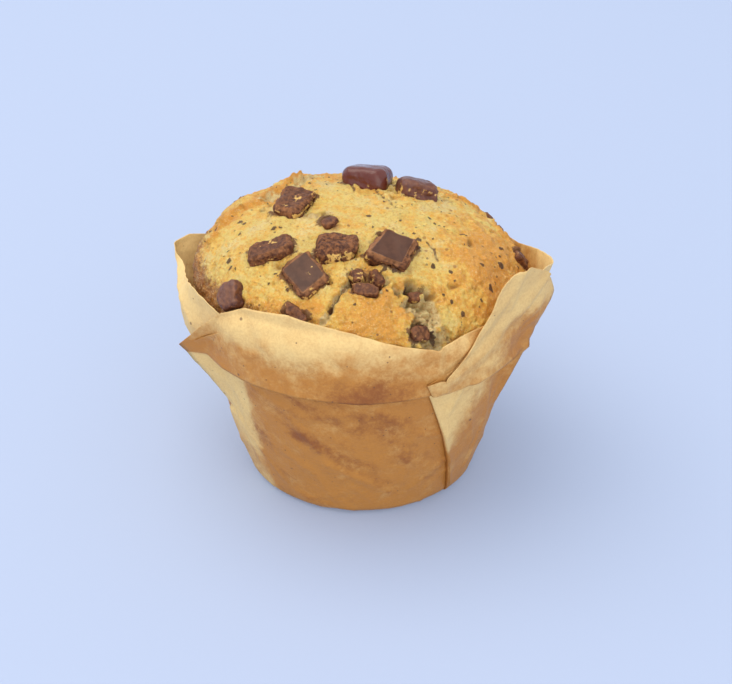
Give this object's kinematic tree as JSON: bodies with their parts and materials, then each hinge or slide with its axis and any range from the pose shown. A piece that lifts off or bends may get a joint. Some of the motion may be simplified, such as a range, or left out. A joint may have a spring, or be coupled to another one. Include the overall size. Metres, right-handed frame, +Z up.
{
  "type": "chocolate chunk muffin",
  "caption": "Domed baked muffin with chocolate chunks pressed into its crown, standing in a pleated tulip wrap of baking paper.",
  "frame": {"origin": "on the surface it stands on, under the middle of the object's plan", "axes": "+Z up; -Y is the front, the side with the low panel of paper; +X is the object's right seen from the front"},
  "size_m": [0.0814, 0.075, 0.0642],
  "materials": {
    "cake": "matte baked crumb, pale in the middle and toasted at the edge",
    "paper": "natural greaseproof paper, brown and slightly glossy where the cake has greased it",
    "chocolate": "dark chocolate, satin on moulded faces and rough where broken"
  },
  "bodies": {
    "root": {"muffin_cake": "cake", "paper_wrap": "paper", "chunk_top_left": "chocolate", "chunk_top_small": "chocolate", "chunk_left": "chocolate", "chunk_front_square": "chocolate", "chunk_centre_rough": "chocolate", "chunk_big_square": "chocolate", "chunk_wedge": "chocolate", "chunk_crack_small": "chocolate", "chunk_crack_low": "chocolate", "chunk_crest_left": "chocolate", "chunk_crest_right": "chocolate", "chunk_rim_left": "chocolate", "chunk_rim_front": "chocolate", "chunk_edge_right": "chocolate", "chunk_edge_tiny": "chocolate", "chunk_split_bottom": "chocolate", "chunk_split_top": "chocolate", "chunk_back_left": "chocolate", "chunk_back_middle": "chocolate", "chunk_back_rim": "chocolate", "chunk_back_right": "chocolate", "chunk_right_side": "chocolate", "chunk_back_small": "chocolate", "chunk_left_side": "chocolate"}
  },
  "joints": []
}
